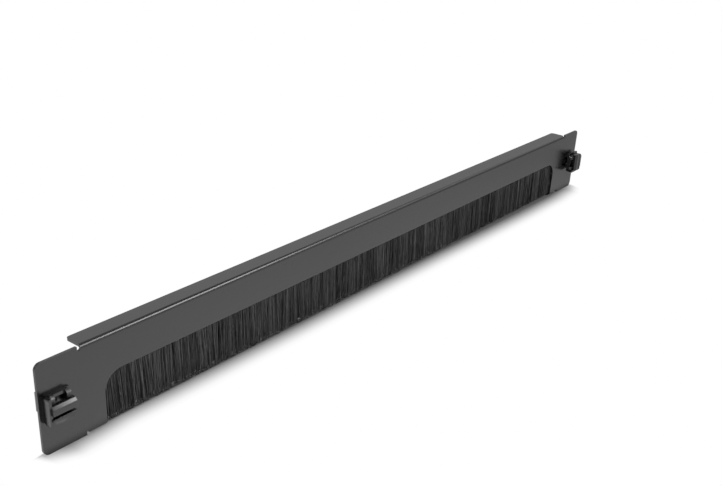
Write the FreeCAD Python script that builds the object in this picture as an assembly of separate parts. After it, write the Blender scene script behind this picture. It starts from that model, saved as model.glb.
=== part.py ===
import FreeCAD, Part
import os
from math import sin

# Brush strip panel for a 19 inch rack, one unit high. Millimetres, +Z up, +X along the panel,
# -Y towards the viewer. The origin lies on the plane of the rack's rails, midway between the
# two rack holes that the clips snap into, so the ears' rear faces are at y = 0.

# Folded sheet
panel_length = 482.0
panel_height = 44.0
sheet = 1.2
bend_radius = 0.8              # inside of every fold of the sheet
ear_corner_radius = 3.0
fold_start = 22.6              # from the panel's end to the top fold
return_start = 24.0            # from the panel's end to each bottom return
relief_width = 2.0             # slot beside each fold
relief_depth = 2.2
top_flange_depth = 10.3        # from the front face to the flange's rear edge
return_depth = 10.0            # the same for the two bottom returns
flange_corner_radius = 1.8

# Cable opening, open at the bottom
opening_to_end = 33.0          # from each side of the opening to the panel's end
opening_length = panel_length - 2 * opening_to_end
opening_corner_radius = 9.5

# Rack interface
rack_hole_to_end = 8.45        # from each hole's middle to the panel's end
rack_hole_pitch = panel_length - 2 * rack_hole_to_end
square_hole = 9.5
square_hole_corner = 0.4
rail_thickness = 2.0           # thickest rack rail that the clips reach behind

# Strip brush: folded channel, core wire and filaments doubled over the wire
channel_overlap = 4.0          # past each side of the opening
channel_length = opening_length + 2 * channel_overlap
channel_width = 4.8
channel_height = 7.0
channel_wall = 0.7
channel_corner_radius = 1.2
channel_above_opening = 1.5
crimp_height = 2.2
mouth_width = 2.4
core_wire_diameter = 1.6
filament_clearance = 0.05      # between the filament pack and the metal round it
curtain_inset = 1.5            # from each end of the channel to the filaments
curtain_length = channel_length - 2 * curtain_inset
curtain_tip_width = 4.2        # thickness of the curtain where the filaments end
curtain_tip_level = 1.6        # lowest filament ends above the panel's bottom edge
curtain_ridge = 0.3
tuft_count = 104
tip_ragged = 1.6
tuft_gap = 0.7
tuft_gap_height = 9.0

# Clamp rail that holds the brush against the sheet
clamp_sheet = 1.0
clamp_fold_radius = 0.5
clamp_lip_height = 6.4
clamp_to_bend = 0.5            # clear of the sheet's top bend
stud_pitch = 297.0
stud_diameter = 3.0
stud_length = 7.5
stud_foot_diameter = 4.5
stud_foot_height = 0.8
clamp_hole_diameter = 5.0
clamp_hole_margin = 0.5        # from each hole to the clamp rail's upper edge
thread_clearance = 0.05
washer_diameter = 6.0
washer_thickness = 0.5
washer_clearance = 0.1         # clear of the clamp rail's fold
nut_across_flats = 5.5
nut_height = 2.4

# Snap clip, one moulding; u is across, v up and d forward of the face that it sits on
clip_flange_size = 13.7
clip_flange_thickness = 1.0
clip_flange_corner = 1.6
clip_body_width = 10.2
clip_body_thickness = 2.3
clip_body_corner = 0.8
clip_window_width = 5.8
clip_window_bottom = -5.0
clip_window_top = 5.4
clip_cheek_bottom = 3.4
clip_cheek_depth = 3.7
clip_cheek_slope = 1.2         # bevel along the top front edge of each cheek
tab_free_gap = 0.3             # finger tabs clear of the body
upper_tab_end = 6.25           # free end, from the clip's middle
upper_tab_bottom = -1.1
upper_tab_top = 3.1
upper_tab_depth = 6.0
upper_tab_slope = 1.25         # bevel along the top front edge
lower_tab_end = 6.0
lower_tab_bottom = -5.6
lower_tab_corner = 1.8         # cut off its two outer corners
lower_tab_top = -2.7
lower_tab_depth = 5.6
tab_edge_radius = 0.3
post_width = 1.4               # post that joins the two finger tabs at one end
post_depth = 4.8
post_corner = 1.0
post_overlap = 0.4             # of each tab's end with the post
arm_width = 5.2
arm_thickness = 1.4
upper_arm_drop = 0.9           # upper arm below its tab's top
spigot_play = 0.15             # round the spigot in its square hole
spigot_wall = 1.2
spigot_length = 8.8
tip_wall = 1.2
tip_chamfer = 0.8
barb_catch = 0.65              # how far each barb reaches past the hole's edge
barb_run = 2.6                 # length of the barb along the arm
barb_flat = 0.8                # of that, the part at full height
loose_clip_offset = 2.0        # the right clip stands out until its barbs meet the sheet

# Heights, stacked down from the top bend: clamp rail, brush channel, opening
stud_above_shelf = clamp_fold_radius + washer_diameter / 2 + washer_clearance
clamp_web_height = stud_above_shelf + clamp_hole_diameter / 2 + clamp_hole_margin
clamp_height = clamp_sheet + clamp_web_height + clamp_to_bend
brush_height = channel_above_opening + channel_height
opening_height = panel_height - sheet - bend_radius - clamp_height - brush_height
stud_height = opening_height + brush_height + clamp_sheet + stud_above_shelf

bottom = -panel_height / 2
top = panel_height / 2
front = -sheet
outer_radius = bend_radius + sheet
fold_half = panel_length / 2 - fold_start
return_half = panel_length / 2 - return_start
opening_top = bottom + opening_height
opening_half = opening_length / 2

channel_bottom = opening_top + channel_above_opening
channel_top = channel_bottom + channel_height
brush_y = channel_width / 2
pack_radius = channel_width / 2 - channel_wall - filament_clearance
wire_z = channel_top - channel_wall - filament_clearance - pack_radius

stud_z = bottom + stud_height


def vec(x, y, z):
    return FreeCAD.Vector(x, y, z)


def box(x0, x1, y0, y1, z0, z1):
    return Part.makeBox(x1 - x0, y1 - y0, z1 - z0, vec(x0, y0, z0))


def round_bar(radius, x, z, y0, y1):
    return Part.makeCylinder(radius, y1 - y0, vec(x, y0, z), vec(0, 1, 0))


def along_x(wire, x0, x1):
    """Solid with the given y-z profile, from x0 to x1."""
    face = Part.Face(wire)
    face.translate(vec(x0, 0, 0))
    return face.extrude(vec(x1 - x0, 0, 0))


def polygon(points):
    return Part.makePolygon(points + [points[0]])


def arc(start, middle, end):
    return Part.Arc(vec(*start), vec(*middle), vec(*end)).toShape()


def line(start, end):
    return Part.LineSegment(vec(*start), vec(*end)).toShape()


def runs_along(edge, axis):
    """True for a straight edge along one of the axes 'x', 'y' or 'z'."""
    if len(edge.Vertexes) != 2:
        return False
    run = edge.Vertexes[1].Point - edge.Vertexes[0].Point
    return abs(abs(getattr(run, axis)) - run.Length) < 1e-6


def fillet_where(solid, radius, axis, test):
    """Round the edges along an axis whose midpoint passes the test."""
    edges = [e for e in solid.Edges if runs_along(e, axis) and test(e.CenterOfMass)]
    return solid.makeFillet(radius, edges)


def fold_profile(edge_z, inward, depth):
    """y-z profile of a fold at the sheet's edge: quarter bend, then a flat flange to the rear.

    inward is the direction from the edge into the sheet, +1 at the bottom and -1 at the top."""
    bend_y = front + outer_radius
    bend_z = edge_z + inward * outer_radius
    inner_z = edge_z + inward * sheet
    rear = front + depth
    slant = 0.5 ** 0.5
    outside = arc((0, front, bend_z),
                  (0, bend_y - outer_radius * slant, bend_z - inward * outer_radius * slant),
                  (0, bend_y, edge_z))
    inside = arc((0, bend_y, inner_z),
                 (0, bend_y - bend_radius * slant, bend_z - inward * bend_radius * slant),
                 (0, 0, bend_z))
    return Part.Wire([outside,
                      line((0, bend_y, edge_z), (0, rear, edge_z)),
                      line((0, rear, edge_z), (0, rear, inner_z)),
                      line((0, rear, inner_z), (0, bend_y, inner_z)),
                      inside,
                      line((0, 0, bend_z), (0, front, bend_z))])


def relief_slot(x0, x1, edge_z, inward):
    """Round-ended slot across the sheet, open at the sheet's edge."""
    radius = (x1 - x0) / 2
    centre_z = edge_z + inward * (relief_depth - radius)
    z0, z1 = sorted((edge_z, centre_z))
    straight = box(x0, x1, front, 0, z0, z1)
    return straight.fuse(round_bar(radius, (x0 + x1) / 2, centre_z, front, 0))


def face_panel():
    """The folded sheet: ears, front, top flange and the two short bottom returns."""
    half = panel_length / 2
    plate = box(-half, half, front, 0, bottom, top)
    plate = fillet_where(plate, ear_corner_radius, "y", lambda p: True)

    window = box(-opening_half, opening_half, front, 0, bottom, opening_top)
    window = fillet_where(window, opening_corner_radius, "y", lambda p: p.z > bottom + sheet)
    cuts = [window, box(-fold_half, fold_half, front, 0, top - outer_radius, top)]
    folds = [along_x(fold_profile(top, -1, top_flange_depth), -fold_half, fold_half)]
    for side in (-1, 1):
        x0, x1 = sorted((side * opening_half, side * return_half))
        cuts.append(box(x0, x1, front, 0, bottom, bottom + outer_radius))
        folds.append(along_x(fold_profile(bottom, 1, return_depth), x0, x1))
        for half_run, edge_z, inward in ((fold_half, top, -1), (return_half, bottom, 1)):
            s0, s1 = sorted((side * half_run, side * (half_run + relief_width)))
            cuts.append(relief_slot(s0, s1, edge_z, inward))
        hole_x = side * rack_hole_pitch / 2
        reach = square_hole / 2
        hole = box(hole_x - reach, hole_x + reach, front, 0, -reach, reach)
        cuts.append(fillet_where(hole, square_hole_corner, "y", lambda p: True))

    rear_corner = front + top_flange_depth - sheet
    folds[0] = fillet_where(folds[0], flange_corner_radius, "z", lambda p: p.y > rear_corner)
    panel = plate.cut(cuts).fuse(folds)
    return panel.removeSplitter()


def both_studs(make):
    """A group of two like solids, one at each weld stud."""
    return Part.makeCompound([make(side * stud_pitch / 2) for side in (-1, 1)])


def rail_stud(x):
    shank = round_bar(stud_diameter / 2, x, stud_z, 0, stud_length)
    foot = round_bar(stud_foot_diameter / 2, x, stud_z, 0, stud_foot_height)
    return shank.fuse(foot).removeSplitter()


def rail_washer(x):
    y0 = clamp_sheet
    y1 = y0 + washer_thickness
    disc = round_bar(washer_diameter / 2, x, stud_z, y0, y1)
    return disc.cut(round_bar(stud_diameter / 2 + thread_clearance, x, stud_z, y0, y1))


def rail_nut(x):
    """Hexagon nut with a flat uppermost and corners turned off at both ends."""
    y0 = clamp_sheet + washer_thickness
    y1 = y0 + nut_height
    flat = nut_across_flats / 2
    corner = flat / (3 ** 0.5 / 2)
    ring = [(corner, 0), (corner / 2, flat), (-corner / 2, flat),
            (-corner, 0), (-corner / 2, -flat), (corner / 2, -flat)]
    hexagon = Part.Face(polygon([vec(x + u, y0, stud_z + v) for u, v in ring]))
    body = hexagon.extrude(vec(0, nut_height, 0))
    turned = round_bar(corner, x, stud_z, y0, y1)
    turned = turned.makeChamfer((corner - flat) * 0.9, [e for e in turned.Edges if e.Closed])
    bore = round_bar(stud_diameter / 2 + thread_clearance, x, stud_z, y0, y1)
    return body.common(turned).cut(bore)


def clamp_rail():
    """Folded strip: a web bolted to the sheet, a shelf over the brush and a lip behind it."""
    shelf_z = channel_top
    lip_y = channel_width
    web_top = shelf_z + clamp_sheet + clamp_web_height
    lip_bottom = shelf_z - clamp_lip_height
    profile = [(0, shelf_z), (lip_y, shelf_z), (lip_y, lip_bottom),
               (lip_y + clamp_sheet, lip_bottom), (lip_y + clamp_sheet, shelf_z + clamp_sheet),
               (clamp_sheet, shelf_z + clamp_sheet), (clamp_sheet, web_top), (0, web_top)]
    half = channel_length / 2
    rail = along_x(polygon([vec(0, y, z) for y, z in profile]), -half, half)

    def near(p, y, z):
        return abs(p.y - y) < 1e-3 and abs(p.z - z) < 1e-3

    inner = clamp_fold_radius
    outer = clamp_fold_radius + clamp_sheet
    rail = fillet_where(rail, inner, "x", lambda p: near(p, lip_y, shelf_z)
                        or near(p, clamp_sheet, shelf_z + clamp_sheet))
    rail = fillet_where(rail, outer, "x", lambda p: near(p, 0, shelf_z)
                        or near(p, lip_y + clamp_sheet, shelf_z + clamp_sheet))
    holes = [round_bar(clamp_hole_diameter / 2, side * stud_pitch / 2, stud_z, 0, clamp_sheet)
             for side in (-1, 1)]
    return rail.cut(holes)


def crimped_profile(side_half, mouth_half, top_z, corner):
    """Closed y-z outline of a channel: round top corners, straight sides, narrowed mouth."""
    bottom_z = channel_bottom
    crimp_z = channel_bottom + crimp_height
    y = brush_y
    slant = corner * (1 - 0.5 ** 0.5)
    left, right = y - side_half, y + side_half
    return Part.Wire([
        line((0, y - mouth_half, bottom_z), (0, left, crimp_z)),
        line((0, left, crimp_z), (0, left, top_z - corner)),
        arc((0, left, top_z - corner), (0, left + slant, top_z - slant), (0, left + corner, top_z)),
        line((0, left + corner, top_z), (0, right - corner, top_z)),
        arc((0, right - corner, top_z), (0, right - slant, top_z - slant), (0, right, top_z - corner)),
        line((0, right, top_z - corner), (0, right, crimp_z)),
        line((0, right, crimp_z), (0, y + mouth_half, bottom_z)),
        line((0, y + mouth_half, bottom_z), (0, y - mouth_half, bottom_z))])


def brush_channel():
    half = channel_length / 2
    outside = crimped_profile(channel_width / 2, mouth_width / 2 + channel_wall,
                              channel_top, channel_corner_radius)
    inside = crimped_profile(channel_width / 2 - channel_wall, mouth_width / 2,
                             channel_top - channel_wall, channel_corner_radius - channel_wall)
    return along_x(outside, -half, half).cut(along_x(inside, -half, half))


def wire_bar(radius, length):
    """Round bar along the middle of the channel, where the core wire lies."""
    return Part.makeCylinder(radius, length, vec(-length / 2, brush_y, wire_z), vec(1, 0, 0))


def brush_core_wire():
    return wire_bar(core_wire_diameter / 2, channel_length)


def spread(index, salt):
    """Uneven but repeatable value from 0 to 1 for one tuft."""
    return (sin(12.9898 * index + salt) * 437.585) % 1.0


def ridged_outline(z, thickness):
    """Plan of the curtain at one height: a ridge for each tuft, in front and behind."""
    pitch = curtain_length / tuft_count
    half = curtain_length / 2
    face = thickness / 2
    front_side = []
    for i in range(tuft_count):
        front_side.append(vec(-half + i * pitch, brush_y - face + curtain_ridge, z))
        front_side.append(vec(-half + (i + 0.5) * pitch, brush_y - face, z))
    front_side.append(vec(half, brush_y - face + curtain_ridge, z))
    rear_side = [vec(p.x, 2 * brush_y - p.y, z) for p in reversed(front_side)]
    return polygon(front_side + rear_side)


def looped_profile(mouth_half):
    """y-z outline of the filaments inside the channel, round over the wire."""
    crimp_z = channel_bottom + crimp_height
    left, right = brush_y - pack_radius, brush_y + pack_radius
    return Part.Wire([
        line((0, brush_y - mouth_half, channel_bottom), (0, left, crimp_z)),
        line((0, left, crimp_z), (0, left, wire_z)),
        arc((0, left, wire_z), (0, brush_y, wire_z + pack_radius), (0, right, wire_z)),
        line((0, right, wire_z), (0, right, crimp_z)),
        line((0, right, crimp_z), (0, brush_y + mouth_half, channel_bottom)),
        line((0, brush_y + mouth_half, channel_bottom), (0, brush_y - mouth_half, channel_bottom))])


def tuft_comb():
    """Prism across the curtain whose lower edge has uneven tips with a gap beside each tuft."""
    pitch = curtain_length / tuft_count
    half = curtain_length / 2
    base = bottom + curtain_tip_level
    points = [vec(half, 0, channel_bottom), vec(-half, 0, channel_bottom)]
    for i in range(tuft_count):
        left = -half + i * pitch
        right = left + pitch
        points.append(vec(left + tuft_gap / 2, 0, base + tip_ragged * spread(i, 0.3)))
        points.append(vec(right - tuft_gap / 2, 0, base + tip_ragged * spread(i, 1.7)))
        if i < tuft_count - 1:
            points.append(vec(right, 0, base + tip_ragged + tuft_gap_height * (0.3 + spread(i, 2.9))))
    comb = Part.Face(polygon(points)).extrude(vec(0, 2 * curtain_tip_width, 0))
    comb.translate(vec(0, brush_y - curtain_tip_width, 0))
    return comb


def brush_bristles():
    """Filaments folded over the core wire, leaving the channel's mouth and fanning out."""
    half = curtain_length / 2
    mouth = mouth_width / 2 - filament_clearance
    root = along_x(looped_profile(mouth), -half, half)
    bore = wire_bar(core_wire_diameter / 2 + filament_clearance, curtain_length)
    tips_z = bottom + curtain_tip_level
    wall = Part.makeLoft([ridged_outline(tips_z, curtain_tip_width),
                          ridged_outline(channel_bottom, 2 * mouth)], True, True)
    curtain = wall.common(tuft_comb())
    return curtain.fuse(root.cut(bore)).removeSplitter()


def clip_box(u0, u1, v0, v1, d0, d1):
    return box(u0, u1, -d1, -d0, v0, v1)


def tab_post():
    """Post at the flange's side, clear of flange and body, that joins the two finger tabs."""
    half = clip_flange_size / 2
    back = clip_flange_thickness + tab_free_gap
    post = clip_box(-half, post_width - half, -half, half, back, post_depth)
    return fillet_where(post, post_corner, "y", lambda p: p.x < 1e-3 - half)


def upper_tab():
    """Finger tab with a bevel along its top front edge."""
    joined_end = post_width - post_overlap - clip_flange_size / 2
    back = clip_body_thickness + tab_free_gap
    tab = clip_box(joined_end, upper_tab_end, upper_tab_bottom, upper_tab_top,
                   back, upper_tab_depth)
    edge = [e for e in tab.Edges if runs_along(e, "x")
            and e.CenterOfMass.z > upper_tab_top - 1e-3
            and e.CenterOfMass.y < -upper_tab_depth + 1e-3]
    tab = tab.makeChamfer(upper_tab_slope, edge)
    return tab.makeFillet(tab_edge_radius, tab.Edges)


def lower_tab():
    """Finger tab with its two outer corners cut off."""
    joined_end = post_width - post_overlap - clip_flange_size / 2
    back = clip_body_thickness + tab_free_gap
    tab = clip_box(joined_end, lower_tab_end, lower_tab_bottom, lower_tab_top,
                   back, lower_tab_depth)
    edges = [e for e in tab.Edges if runs_along(e, "y")
             and e.CenterOfMass.z < lower_tab_bottom + 1e-3]
    tab = tab.makeChamfer(lower_tab_corner, edges)
    return tab.makeFillet(tab_edge_radius, tab.Edges)


def barbed_arm(v_inner, v_outer, barb_reach):
    """Springy arm from the spigot's tip to a finger tab, with a barb that faces forward."""
    half = arm_width / 2
    v0, v1 = sorted((v_inner, v_outer))
    back = clip_body_thickness + tab_free_gap + tab_edge_radius
    arm = clip_box(-half, half, v0, v1, -spigot_length, back)
    catch = -(sheet + rail_thickness)
    side = [(catch, v_outer), (catch, barb_reach), (catch - barb_flat, barb_reach),
            (catch - barb_run, v_outer)]
    barb = Part.Face(polygon([vec(-half, -d, v) for d, v in side])).extrude(vec(arm_width, 0, 0))
    return arm.fuse(barb)


def clip_body():
    """Flange, raised body and the two cheeks, with the window that the arms pass through."""
    half_u = clip_body_width / 2
    half_v = clip_flange_size / 2
    flange = clip_box(-half_v, half_v, -half_v, half_v, 0, clip_flange_thickness)
    flange = fillet_where(flange, clip_flange_corner, "y", lambda p: True)
    body = clip_box(-half_u, half_u, -half_v, half_v, 0, clip_body_thickness)
    cheeks = clip_box(-half_u, half_u, clip_cheek_bottom, half_v, 0, clip_cheek_depth)
    body = body.fuse(cheeks).removeSplitter()
    edge = [e for e in body.Edges if runs_along(e, "x")
            and abs(e.CenterOfMass.z - half_v) < 1e-3
            and abs(e.CenterOfMass.y + clip_cheek_depth) < 1e-3]
    body = body.makeChamfer(clip_cheek_slope, edge)
    body = fillet_where(body, clip_body_corner, "y", lambda p: abs(abs(p.z) - half_v) < 1e-3)
    window = clip_box(-clip_window_width / 2, clip_window_width / 2,
                      clip_window_bottom, clip_window_top, 0, clip_cheek_depth)
    above = clip_box(-clip_window_width / 2, clip_window_width / 2,
                     clip_window_top, half_v, clip_body_thickness, clip_cheek_depth)
    return flange.fuse(body).cut([window, above])


def clip_spigot():
    """Square hollow plug for the panel's and the rack's holes, slotted above and below the arms."""
    reach = square_hole / 2 - spigot_play
    shell = clip_box(-reach, reach, -reach, reach, -spigot_length, 0)
    tip_edges = [e for e in shell.Edges if e.CenterOfMass.y > spigot_length - 1e-3]
    shell = shell.makeChamfer(tip_chamfer, tip_edges)
    inner = reach - spigot_wall
    hollow = clip_box(-inner, inner, -reach, reach, -(spigot_length - tip_wall), 0)
    upper_slot = clip_box(-inner, inner, upper_tab_top - upper_arm_drop, reach, -spigot_length, 0)
    lower_slot = clip_box(-inner, inner, -reach, lower_tab_top - arm_thickness, -spigot_length, 0)
    return shell.cut([hollow, upper_slot, lower_slot])


def snap_clip():
    """Clip seated on a face at y = 0, with its finger tabs level."""
    barb_level = square_hole / 2 + barb_catch
    upper_arm_top = upper_tab_top - upper_arm_drop
    pieces = [clip_spigot(),
              barbed_arm(upper_arm_top - arm_thickness, upper_arm_top, barb_level),
              barbed_arm(lower_tab_top, lower_tab_top - arm_thickness, -barb_level),
              upper_tab(),
              lower_tab(),
              tab_post()]
    return clip_body().fuse(pieces).removeSplitter()


def clip_left():
    clip = snap_clip()
    clip.translate(vec(-rack_hole_pitch / 2, front, 0))
    return clip


def clip_right():
    """The same moulding, snapped in a quarter turn round and pulled out to its barbs."""
    clip = snap_clip()
    clip.rotate(vec(0, 0, 0), vec(0, 1, 0), -90)
    clip.translate(vec(rack_hole_pitch / 2, front - loose_clip_offset, 0))
    return clip


nodes = {
    "face_panel": face_panel(),
    "rail_studs": both_studs(rail_stud),
    "clamp_rail": clamp_rail(),
    "rail_washers": both_studs(rail_washer),
    "rail_nuts": both_studs(rail_nut),
    "brush_channel": brush_channel(),
    "brush_core_wire": brush_core_wire(),
    "brush_bristles": brush_bristles(),
    "clip_left": clip_left(),
    "clip_right": clip_right(),
}

os.makedirs("parts", exist_ok=True)
for name, shape in nodes.items():
    shape.exportStep("parts/" + name + ".step")
    print(name, len(shape.Solids), "solid(s), valid", shape.isValid(), "volume", round(shape.Volume, 1))
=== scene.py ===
import random
from math import pi, radians, tau

import bmesh
import bpy
from mathutils import Matrix, Vector


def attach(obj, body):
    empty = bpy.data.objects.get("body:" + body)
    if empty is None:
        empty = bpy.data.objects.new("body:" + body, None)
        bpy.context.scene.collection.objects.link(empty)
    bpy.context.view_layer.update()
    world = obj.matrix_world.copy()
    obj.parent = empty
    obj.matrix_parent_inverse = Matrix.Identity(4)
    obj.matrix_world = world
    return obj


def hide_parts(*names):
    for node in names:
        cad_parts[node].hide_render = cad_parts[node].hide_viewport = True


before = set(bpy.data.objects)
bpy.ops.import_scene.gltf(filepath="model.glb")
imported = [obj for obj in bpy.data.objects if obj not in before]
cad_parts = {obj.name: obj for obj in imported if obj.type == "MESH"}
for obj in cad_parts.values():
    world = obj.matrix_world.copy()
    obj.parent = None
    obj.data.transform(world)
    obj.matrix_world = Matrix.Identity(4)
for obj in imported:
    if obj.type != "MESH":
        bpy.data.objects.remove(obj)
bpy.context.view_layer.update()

bpy.context.scene.view_settings.view_transform = "Standard"
random.seed(19)

MM = 0.001
FLOOR = -22 * MM
SHEET_FRONT = -1.2 * MM
PANEL_HALF = 241 * MM
PANEL_REAR = 9 * MM
CURTAIN_HALF = 210.5 * MM
CHANNEL_BOTTOM = 4.9 * MM
STUD_X = 148.5 * MM
STUD_Z = 16.5 * MM

SHARP = radians(35)  # edges that turn by more than this are sharp, and are eased


# Camera

def set_camera():
    """Camera at the photo's viewing angle."""
    swing, tilt, roll = radians(-53.852), radians(90 - 26.2367), radians(3.3202)
    data = bpy.data.cameras.new("camera")
    data.sensor_width = 36
    data.lens = 47.7715
    data.shift_y = 0.08
    data.dof.use_dof = False
    data.clip_start = 0.01
    data.clip_end = 50
    camera = bpy.data.objects.new("camera", data)
    bpy.context.collection.objects.link(camera)
    turn = Matrix.Rotation(swing, 4, "Z")
    turn = turn @ Matrix.Rotation(tilt, 4, "X")
    turn = turn @ Matrix.Rotation(roll, 4, "Z")
    camera.matrix_world = Matrix.Translation((-0.427983, -0.295706, 0.218933)) @ turn
    bpy.context.scene.camera = camera


# Materials

class Value:
    """A node's output; arithmetic on it adds Math nodes."""

    def __init__(self, finish, socket):
        self.finish = finish
        self.socket = socket

    def maths(self, operation, *others):
        settings = {"operation": operation}
        return self.finish.add("ShaderNodeMath", settings, dict(enumerate([self, *others])))

    def __add__(self, other):
        return self.maths("ADD", other)

    def __sub__(self, other):
        return self.maths("SUBTRACT", other)

    def __mul__(self, other):
        return self.maths("MULTIPLY", other)

    def __truediv__(self, other):
        return self.maths("DIVIDE", other)

    def __rsub__(self, other):
        return self.finish.add("ShaderNodeMath", {"operation": "SUBTRACT"}, {0: other, 1: self})

    __radd__ = __add__
    __rmul__ = __mul__


class Finish:
    """A material or world while its nodes are laid out."""

    def __init__(self, owner):
        owner.use_nodes = True
        self.owner = owner
        self.tree = owner.node_tree
        self.tree.nodes.clear()

    def add(self, kind, settings=None, sockets=None, out=0):
        node = self.tree.nodes.new(kind)
        for name, setting in (settings or {}).items():
            if name == "stops":
                self.set_stops(node.color_ramp, setting)
            else:
                setattr(node, name, setting)
        for name, value in (sockets or {}).items():
            if isinstance(value, Value):
                self.tree.links.new(value.socket, node.inputs[name])
            else:
                node.inputs[name].default_value = value
        return Value(self, node.outputs[out]) if node.outputs else None

    def set_stops(self, ramp, stops):
        while len(ramp.elements) < len(stops):
            ramp.elements.new(0.5)
        for element, (place, level) in zip(ramp.elements, stops):
            element.position = place
            element.color = grey(level)

    def place(self):
        return self.add("ShaderNodeTexCoord", out="Object")

    def seen_by(self):
        """Whether a spot is looked at straight or through glass, and whether it shows in gloss."""
        straight = self.add("ShaderNodeLightPath", out="Is Camera Ray")
        clear = self.add("ShaderNodeLightPath", out="Is Transmission Ray")
        glossy = self.add("ShaderNodeLightPath", out="Is Glossy Ray")
        return straight.maths("MAXIMUM", clear), glossy

    def stretched(self, scale):
        return self.add("ShaderNodeMapping", None, {"Vector": self.place(), "Scale": scale})

    def noise(self, vector, scale, detail=2.0, roughness=0.5):
        sockets = {"Vector": vector, "Scale": scale, "Detail": detail, "Roughness": roughness}
        return self.add("ShaderNodeTexNoise", None, sockets)

    def ramp(self, value, *stops):
        return self.add("ShaderNodeValToRGB", {"stops": stops}, {"Fac": value})

    def blend(self, share, low, high):
        """Colour that goes from low to high with the share."""
        sockets = {0: share, 6: low, 7: high}
        return self.add("ShaderNodeMix", {"data_type": "RGBA"}, sockets, out=2)

    def bump(self, height, distance, under=None):
        sockets = {"Height": height, "Distance": distance, "Strength": 1.0}
        if under:
            sockets["Normal"] = under
        return self.add("ShaderNodeBump", None, sockets)

    def surface(self, **sockets):
        names = {name.replace("_", " "): value for name, value in sockets.items()}
        shader = self.add("ShaderNodeBsdfPrincipled", None, names)
        self.add("ShaderNodeOutputMaterial", None, {"Surface": shader})
        return self.owner


def finish(name):
    """New material, ready for its nodes."""
    return Finish(bpy.data.materials.new(name))


def grey(level, warmth=0.0):
    return (level * (1 + warmth), level, level * (1 - warmth), 1)


def powder_coat():
    """Black satin powder coat: fine orange peel, a little dust, and the two studs' weld marks."""
    f = finish("black powder coat")
    place = f.place()
    peel = f.noise(place, 900, 3)
    grain = f.noise(place, 4200, 2)
    cloud = f.noise(place, 30, 4, 0.6)
    specks = f.ramp(f.noise(place, 1500, 1), (0.70, 0), (0.78, 1))
    colour = f.blend(cloud, grey(0.0095), grey(0.0125))
    colour = f.blend(specks * 0.05, colour, grey(0.18, 0.03))
    marks = None
    for side in (-1, 1):
        sockets = {0: place, 1: (side * STUD_X, SHEET_FRONT, STUD_Z)}
        away = f.add("ShaderNodeVectorMath", {"operation": "DISTANCE"}, sockets, out="Value")
        dent_and_rim = (0, 0.35), (0.28, 0.3), (0.36, 0), (0.44, 0.9), (0.52, 0.55), (0.7, 0.5)
        mark = f.ramp(away / (4.5 * MM), *dent_and_rim)
        marks = mark if marks is None else marks.maths("MINIMUM", mark)
    waves = f.bump(marks, 0.05 * MM)
    waves = f.bump(peel, 0.004 * MM, waves)
    waves = f.bump(grain, 0.0008 * MM, waves)
    rough = 0.21 + 0.05 * cloud + 0.03 * grain
    return f.surface(Base_Color=colour, Roughness=rough, IOR=1.70, Normal=waves)


def moulded_plastic():
    """Black glass-filled nylon with a fine spark texture."""
    f = finish("black moulded plastic")
    place = f.place()
    texture = f.noise(place, 2600, 3)
    flow = f.noise(place, 160, 3, 0.6)
    colour = f.blend(flow, grey(0.006), grey(0.009))
    waves = f.bump(texture, 0.008 * MM)
    return f.surface(Base_Color=colour, Roughness=0.20 + 0.08 * flow, IOR=1.70, Normal=waves)


def bristle_nylon():
    """Black nylon filament; each strand has its own shade, partly at random and partly painted
    light.
    """
    f = finish("black nylon filament")
    shade = f.add("ShaderNodeAttribute", {"attribute_name": "shade"}, out="Fac")
    streak = f.noise(f.stretched((1, 1, 0.08)), 2400, 2)
    colour = f.blend(shade, grey(0.001), grey(0.19))
    waves = f.bump(streak, 0.01 * MM)
    return f.surface(Base_Color=colour, Roughness=0.36 + 0.12 * streak, IOR=1.53, Normal=waves)


def galvanised():
    """Zinc-coated sheet with a faint spangle and rolled grain."""
    f = finish("galvanised sheet")
    place = f.place()
    sockets = {"Vector": place, "Scale": 260}
    spangle = f.add("ShaderNodeTexVoronoi", {"feature": "F1"}, sockets, out="Color")
    spangle = f.add("ShaderNodeSeparateColor", None, {"Color": spangle})
    rolled = f.noise(f.stretched((0.05, 1, 1)), 1800, 3)
    bloom = f.noise(place, 45, 4, 0.6)
    colour = f.blend(spangle * 0.5 + bloom * 0.5, grey(0.42, -0.01), grey(0.62, -0.015))
    waves = f.bump(rolled, 0.004 * MM)
    rough = 0.30 + 0.10 * spangle + 0.10 * bloom
    return f.surface(Base_Color=colour, Metallic=1.0, Roughness=rough, Normal=waves)


def plated():
    """Bright zinc plating on studs, nuts and washers."""
    f = finish("zinc plating")
    place = f.place()
    stain = f.noise(place, 500, 3, 0.6)
    turned = f.noise(f.stretched((1, 0.1, 1)), 3800, 2)
    colour = f.blend(stain, grey(0.50, 0.03), grey(0.68, 0.01))
    waves = f.bump(turned, 0.004 * MM)
    return f.surface(Base_Color=colour, Metallic=1.0, Roughness=0.24 + 0.14 * stain, Normal=waves)


def drawn_wire():
    """Bare steel wire with fine lines along it."""
    f = finish("drawn wire")
    drawn = f.noise(f.stretched((0.02, 1, 1)), 5200, 2)
    colour = f.blend(drawn, grey(0.38), grey(0.52))
    waves = f.bump(drawn, 0.004 * MM)
    return f.surface(Base_Color=colour, Metallic=1.0, Roughness=0.28 + 0.15 * drawn, Normal=waves)


def coat(piece, material):
    piece.data.materials.clear()
    piece.data.materials.append(material)


# Pieces

def new_piece(name, bm, material, slot, *nodes):
    """Piece made from bm, in place of the named nodes if there are any."""
    mesh = bpy.data.meshes.new(name)
    bm.to_mesh(mesh)
    bm.free()
    piece = bpy.data.objects.new(name, mesh)
    bpy.context.collection.objects.link(piece)
    coat(piece, material)
    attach(piece, "root")
    if nodes:
        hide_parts(*nodes)
    return piece


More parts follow.
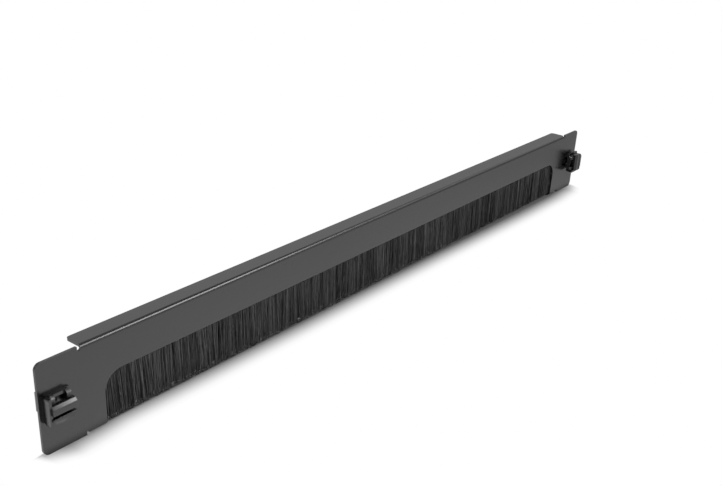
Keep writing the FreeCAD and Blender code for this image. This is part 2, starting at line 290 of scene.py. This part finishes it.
def merged_copy(node):
    """The node's own shape as one skin, with its flat faces whole."""
    bm = bmesh.new()
    bm.from_mesh(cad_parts[node].data)
    bmesh.ops.remove_doubles(bm, verts=bm.verts, dist=0.002 * MM)
    flat = radians(0.5)
    bmesh.ops.dissolve_limit(bm, angle_limit=flat, verts=bm.verts, edges=bm.edges)
    return bm


def eased(name, node, material, slot, width):
    """The node's own shape with its sharp edges eased, as paint and moulding leave them."""
    piece = new_piece(name, merged_copy(node), material, slot, node)
    piece.data.shade_smooth()
    piece.data.set_sharp_from_angle(angle=SHARP)
    bevel = piece.modifiers.new("eased edges", "BEVEL")
    bevel.width = width
    bevel.segments = 2
    bevel.limit_method = "ANGLE"
    bevel.angle_limit = SHARP
    bevel.harden_normals = True
    return piece


# Brush

TOP = CHANNEL_BOTTOM + 1 * MM       # filaments start inside the channel
TIP_GAP = 1.1 * MM                  # from the floor to the usual longest tip
LEAST_GAP = 0.25 * MM               # from the floor to any tip
SIDE_GAP = 0.2 * MM                 # from the curtain's ends to any tip
BEHIND_SHEET = 203.5 * MM           # from here outwards the tips stay behind the sheet,
SHEET_GAP = 0.5 * MM                # at least this far from its rear
STRAY_SHARE = 0.04                  # of the filaments wander more, hang lower and are painted lighter, a painted highlight
TUFT_WIDTHS = 0.35 * MM, 1.5 * MM   # narrowest and widest
TIP_TAPER = 0.36                    # tip's radius as a share of the filament's width
CORE_Y = 2.4 * MM                   # middle of the brush's depth


def strand(bm, layers, root, tip, width, shade, bow):
    """A tapered filament from root to tip, bowed sideways by bow at its middle."""
    run = tip - root
    turn = run.to_track_quat("Z", "Y").to_matrix().to_4x4()
    spin = Matrix.Rotation(random.uniform(0, tau), 4, "Z")
    place = Matrix.Translation((root + tip) / 2) @ turn @ spin
    made = bmesh.ops.create_cone(bm, cap_ends=True, segments=3, radius1=width / 2,
                                 radius2=width * TIP_TAPER, depth=run.length, matrix=place)
    for v in made["verts"]:
        v[layers["shade"]] = shade
        v[layers["bow_x"]] = bow.x
        v[layers["bow_y"]] = bow.y
        v[layers["top"]] = root.z
        v[layers["length"]] = abs(run.z)


def clump(x0, x1, row):
    """One tuft's filaments, from x0 to x1 in one row; tufts at the near end lean most."""
    bm = bmesh.new()
    names = "shade", "bow_x", "bow_y", "top", "length"
    layers = {name: bm.verts.layers.float.new(name) for name in names}
    middle = (x0 + x1) / 2
    near_end = max(0, 1 - (middle + CURTAIN_HALF) / (30 * MM))
    lean = random.gauss(0, 1.0) * MM + near_end * 1.4 * MM
    pinch = random.uniform(0.9, 1.2)
    if abs(middle) > CURTAIN_HALF - 6 * MM:
        pinch = 1.0
        lean = 0.0
    depth = random.gauss(0, 0.2) * MM
    # Tufts are lighter towards the near end and darker towards the far end: painted light.
    tone_and_painted_light = random.uniform(-0.15, 0.95) - 0.1 * middle / CURTAIN_HALF
    height = random.gauss(0, 0.15) * MM
    count = max(2, round((x1 - x0) / row["step"]))
    for i in range(count):
        u = (i + random.uniform(0.1, 0.9)) / count
        x = x0 + (x1 - x0) * u
        root = Vector((x, row["root_y"] + random.gauss(0, 0.12) * MM, TOP))
        stray = random.random()
        drop = FLOOR + TIP_GAP + height + abs(random.gauss(0, 0.34)) * MM
        wander = random.gauss(0, 0.55) * MM
        shade = min(1, max(0, tone_and_painted_light + random.gauss(0, 0.5)))
        if stray < STRAY_SHARE:
            wander *= 2
            # Strays are painted lighter: a painted highlight.
            shade = min(1, shade + 0.45)
            drop -= random.uniform(0, 0.6) * MM
        tip_x = middle + (x - middle) * pinch + lean + wander
        tip_x = max(-CURTAIN_HALF + SIDE_GAP, min(CURTAIN_HALF - SIDE_GAP, tip_x))
        tip_y = row["tip_y"] + depth + random.gauss(0, 0.18) * MM
        if abs(tip_x) > BEHIND_SHEET or abs(x) > BEHIND_SHEET:
            tip_y = max(tip_y, SHEET_GAP)
        drop = max(drop, FLOOR + LEAST_GAP)
        tip = Vector((tip_x, tip_y, drop))
        bow = Vector((random.gauss(0, 0.12) * MM, row["bow"] + random.gauss(0, 0.06) * MM))
        strand(bm, layers, root, tip, row["width"] * random.uniform(0.85, 1.15), shade, bow)
    long_edges = [e for e in bm.edges if e.calc_length() > 4 * MM]
    bmesh.ops.subdivide_edges(bm, edges=long_edges, cuts=2)
    for v in bm.verts:
        down = (v[layers["top"]] - v.co.z) / v[layers["length"]]
        swell = 4 * down * (1 - down)
        v.co.x += v[layers["bow_x"]] * swell
        v.co.y += v[layers["bow_y"]] * swell
    return bm


def curtain_row(name, row, material, *nodes):
    """Row of tufts of uneven width, from one end of the brush to the other."""
    whole = bmesh.new()
    loose = bpy.data.meshes.new("loose tuft")
    x = -CURTAIN_HALF
    while x < CURTAIN_HALF - 0.3 * MM:
        x1 = min(CURTAIN_HALF, x + random.uniform(*TUFT_WIDTHS))
        bm = clump(x, x1, row)
        bm.to_mesh(loose)
        bm.free()
        whole.from_mesh(loose)
        x = x1
    bpy.data.meshes.remove(loose)
    return new_piece(name, whole, material, "bristle_nylon", *nodes)


def curtain_core(material):
    """Closely packed filaments at the middle, where no light passes, as one sheet at the filaments'
    darkest shade, painted shade among them, with a ragged lower edge.
    """
    bm = bmesh.new()
    middle = Matrix.Translation((0, CORE_Y, -6.1 * MM))
    size = Matrix.Diagonal((420.4 * MM, 1.2 * MM, 27.4 * MM, 1))
    bmesh.ops.create_cube(bm, size=1, matrix=middle @ size)
    long_edges = [e for e in bm.edges if e.calc_length() > 100 * MM]
    bmesh.ops.subdivide_edges(bm, edges=long_edges, cuts=420)
    for v in bm.verts:
        if v.co.z < -10 * MM:
            v.co.z += random.uniform(-0.5, 0.5) * MM
            v.co.y = CORE_Y + (v.co.y - CORE_Y) * 0.5
    # With no shade of its own it takes the darkest one: painted shade.
    return new_piece("bristle_core", bm, material, "bristle_nylon")


# Floor, lamps and surroundings

SHADOW_WIDTH = 20 * MM  # how wide the painted shadow beside the panel is, at the most; the floor is matt that far
# How many mm the white is drawn in towards the panel, narrowing the painted shadow, at spots along
# it in mm from its middle.
DRAWN_IN = ((-250, 30), (-241, 8.5), (-229, 3.2), (-212, 4.5), (-200, 6.0), (-171, 5.2),
            (-81, 3.6), (0, 3.0), (60, 2.2), (100, 1.2), (160, 0), (205, 0), (229, 2.0),
            (241, 7.5), (250, 30))
DRAWN_IN_HALF = 250 * MM
DRAWN_IN_MOST = 30 * MM


def pale_floor():
    """Matt beside the panel, where it takes the shadow and, to the camera, is half as pale: a
    painted shadow; plain white further out, also in gloss.
    """
    bm = bmesh.new()
    place = Matrix.Translation((0, 0, FLOOR))
    bmesh.ops.create_grid(bm, x_segments=1, y_segments=1, size=4, matrix=place)
    mesh = bpy.data.meshes.new("floor")
    bm.to_mesh(mesh)
    bm.free()
    floor = bpy.data.objects.new("floor", mesh)
    bpy.context.collection.objects.link(floor)
    f = finish("pale floor")
    straight, glossy = f.seen_by()
    place = f.place()
    x, y = (f.add("ShaderNodeSeparateXYZ", None, {"Vector": place}, out=axis) for axis in "XY")
    # How far a spot lies before or behind the panel, in widths of the painted shadow; behind the
    # left ear it counts for more.
    left_rear = (-205 * MM - x).maths("MAXIMUM", 0) * 240 + 1
    past_front = (0 - y).maths("MINIMUM", y * -3)
    past_side = past_front.maths("MAXIMUM", y * left_rear - PANEL_REAR) / SHADOW_WIDTH
    past_end = (x.maths("ABSOLUTE") - PANEL_HALF) / (10 * MM)
    along = x / (2 * DRAWN_IN_HALF) + 0.5
    stops = ((at * MM / (2 * DRAWN_IN_HALF) + 0.5, mm * MM / DRAWN_IN_MOST) for at, mm in DRAWN_IN)
    narrowing = DRAWN_IN_MOST / SHADOW_WIDTH * f.ramp(along, *stops)
    # The painted shadow fades into white over these stops.
    painted_shadow_fade = (0.10, 0), (0.25, 0.14), (0.45, 0.43), (0.60, 0.69), (0.75, 0.91), (0.90, 1)
    near_white = straight * f.ramp(past_side + narrowing, *painted_shadow_fade)
    far_white = glossy * f.ramp(past_side.maths("MAXIMUM", past_end), (0.0, 0), (0.30, 1))
    backdrop = near_white.maths("MAXIMUM", far_white)
    # To the camera the matt floor is half as pale: painted shade on top of the shadow it takes.
    pale = f.add("ShaderNodeBsdfDiffuse", None, {"Color": grey(0.82)})
    painted_shade = f.add("ShaderNodeBsdfDiffuse", None, {"Color": grey(0.41)})
    matt = f.add("ShaderNodeMixShader", None, {0: straight, 1: pale, 2: painted_shade})
    white = f.add("ShaderNodeEmission", None, {"Color": grey(1), "Strength": 1.0})
    # In gloss the floor is dimmer towards the panel's far end: a painted darkening of its
    # reflection.
    dim = f.add("ShaderNodeEmission", None, {"Color": grey(1), "Strength": 0.55})
    painted_dim_reflection = glossy * f.ramp(x / (1000 * MM) + 0.5, (0.40, 0), (0.80, 1))
    bright = f.add("ShaderNodeMixShader", None, {0: painted_dim_reflection, 1: white, 2: dim})
    both = f.add("ShaderNodeMixShader", None, {0: backdrop, 1: matt, 2: bright})
    f.add("ShaderNodeOutputMaterial", None, {"Surface": both})
    coat(floor, f.owner)


def soft_surroundings():
    """Even light on everything; plain white to look at; in gloss, walls brightest at mid height."""
    world = bpy.data.worlds.new("studio")
    bpy.context.scene.world = world
    f = Finish(world)
    straight, glossy = f.seen_by()
    direction = f.add("ShaderNodeTexCoord", out="Generated")
    height = f.add("ShaderNodeSeparateXYZ", None, {"Vector": direction}, out="Z")
    walls = f.ramp(height, (0.0, 0.30), (0.2, 0.36), (0.28, 0.48), (0.36, 0.62), (0.45, 0.88),
                   (0.54, 0.95), (0.62, 0.55), (0.70, 0.14), (1.0, 0.08))
    even = f.add("ShaderNodeBackground", None, {"Color": grey(1), "Strength": 0.06})
    gloss = f.add("ShaderNodeBackground", None, {"Color": walls, "Strength": 1.0})
    white = f.add("ShaderNodeBackground", None, {"Color": grey(1), "Strength": 1.0})
    both = f.add("ShaderNodeMixShader", None, {0: glossy, 1: even, 2: gloss})
    whole = f.add("ShaderNodeMixShader", None, {0: straight, 1: both, 2: white})
    f.add("ShaderNodeOutputWorld", None, {"Surface": whole})


def softbox(name, place, width, length, radiance):
    """Rectangular lamp that faces the panel's middle, its length square to the panel's own."""
    data = bpy.data.lights.new(name, "AREA")
    data.shape = "RECTANGLE"
    data.size = width
    data.size_y = length
    data.energy = radiance * pi * width * length
    lamp = bpy.data.objects.new(name, data)
    bpy.context.collection.objects.link(lamp)
    away = Vector(place).normalized()
    along = Vector((1, 0, 0)).cross(away).normalized()
    turn = Matrix((along.cross(away), along, away)).transposed().to_4x4()
    lamp.matrix_world = Matrix.Translation(place) @ turn


set_camera()

coating = powder_coat()
plastic = moulded_plastic()
nylon = bristle_nylon()
zinc = galvanised()
bright_zinc = plated()

eased("panel_sheet", "face_panel", coating, "powder_coat", 0.1 * MM)
eased("snap_clip_left", "clip_left", plastic, "clip_plastic", 0.12 * MM)
eased("snap_clip_right", "clip_right", plastic, "clip_plastic", 0.12 * MM)
eased("clamp_strip", "clamp_rail", zinc, "zinc_sheet", 0.10 * MM)
eased("crimped_channel", "brush_channel", zinc, "zinc_sheet", 0.08 * MM)
coat(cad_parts["rail_studs"], bright_zinc)
coat(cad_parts["rail_washers"], bright_zinc)
coat(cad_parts["rail_nuts"], bright_zinc)
coat(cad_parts["brush_core_wire"], drawn_wire())

# Name, depth of the roots and of the tips, bow, filaments' width and spacing, all in mm.
rows = [
    ("bristles_front", 1.15, 0.05, -0.10, 0.19, 0.20),
    ("bristles_second", 1.60, 0.80, -0.05, 0.20, 0.16),
    ("bristles_third", 2.10, 1.70, 0.00, 0.22, 0.16),
    ("bristles_fourth", 2.70, 2.70, 0.00, 0.22, 0.18),
    ("bristles_fifth", 3.20, 3.60, 0.05, 0.21, 0.16),
    ("bristles_rear", 3.70, 4.30, 0.10, 0.20, 0.14),
]
for i, (name, root_y, tip_y, bow, width, step) in enumerate(rows):
    row = {"root_y": root_y * MM, "tip_y": tip_y * MM, "bow": bow * MM,
           "width": width * MM, "step": step * MM}
    curtain_row(name, row, nylon, *(["brush_bristles"] if i == 0 else []))
curtain_core(nylon)

pale_floor()
soft_surroundings()
softbox("key softbox", (1.65, -1.53, 1.98), 0.92, 1.2, 7)
softbox("overhead softbox", (-0.12, 0.21, 1.1), 0.46, 0.46, 17)
